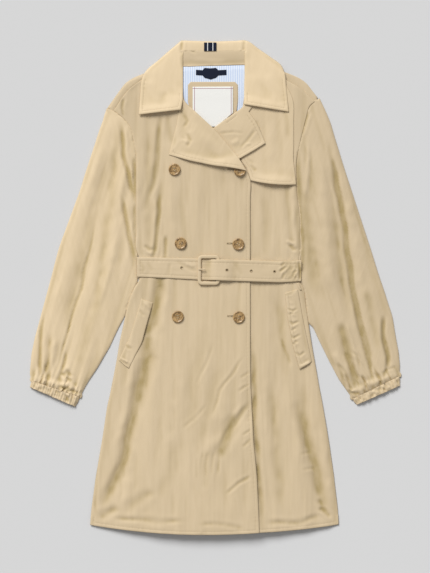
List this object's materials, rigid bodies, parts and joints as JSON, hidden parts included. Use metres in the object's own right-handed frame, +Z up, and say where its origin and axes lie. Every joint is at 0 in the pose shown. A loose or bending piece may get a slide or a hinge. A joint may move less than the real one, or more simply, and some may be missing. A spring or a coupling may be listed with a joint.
{
  "type": "trench coat",
  "caption": "Belted double-breasted trench coat in crinkled beige cloth, laid flat on its back with its sleeves beside it, collar and lapels turned out.",
  "frame": {"origin": "on the surface the coat lies on, under the middle of its bounding box", "axes": "+X to the wearer's left, +Y from the hem to the collar, +Z up from the surface"},
  "size_m": [0.778, 1.0381, 0.0213],
  "materials": {
    "coat_cloth": "crinkled nylon taffeta with a slight sheen",
    "trim_cloth": "the same cloth, doubled and edge stitched",
    "striped_lining": "fine white and pale blue stripes",
    "label_white": "smooth woven label, plain",
    "label_navy": "woven navy tape",
    "tape_navy": "woven navy tape with two cream pin lines",
    "horn": "brown imitation horn"
  },
  "bodies": {
    "root": {"back": "coat_cloth", "front_right": "coat_cloth", "front_left": "coat_cloth", "sleeve_right_upper": "coat_cloth", "sleeve_right_under": "coat_cloth", "sleeve_left_upper": "coat_cloth", "sleeve_left_under": "coat_cloth", "collar": "coat_cloth", "storm_flap": "trim_cloth", "lapel_right": "trim_cloth", "lapel_left": "trim_cloth", "collar_stand": "trim_cloth", "neck_facing": "trim_cloth", "cuff_right": "trim_cloth", "cuff_left": "trim_cloth", "pocket_welt_right": "trim_cloth", "pocket_welt_left": "trim_cloth", "belt_front": "trim_cloth", "belt_under": "trim_cloth", "belt_back": "trim_cloth", "belt_loop_left": "trim_cloth", "buckle": "trim_cloth", "buckle_prong": "trim_cloth", "neck_lining": "striped_lining", "neck_label": "label_white", "hanger_label": "label_navy", "collar_tape": "tape_navy", "button_right_top": "horn", "button_right_middle": "horn", "button_right_low": "horn", "button_left_top": "horn", "button_left_middle": "horn", "button_left_low": "horn"}
  },
  "joints": []
}
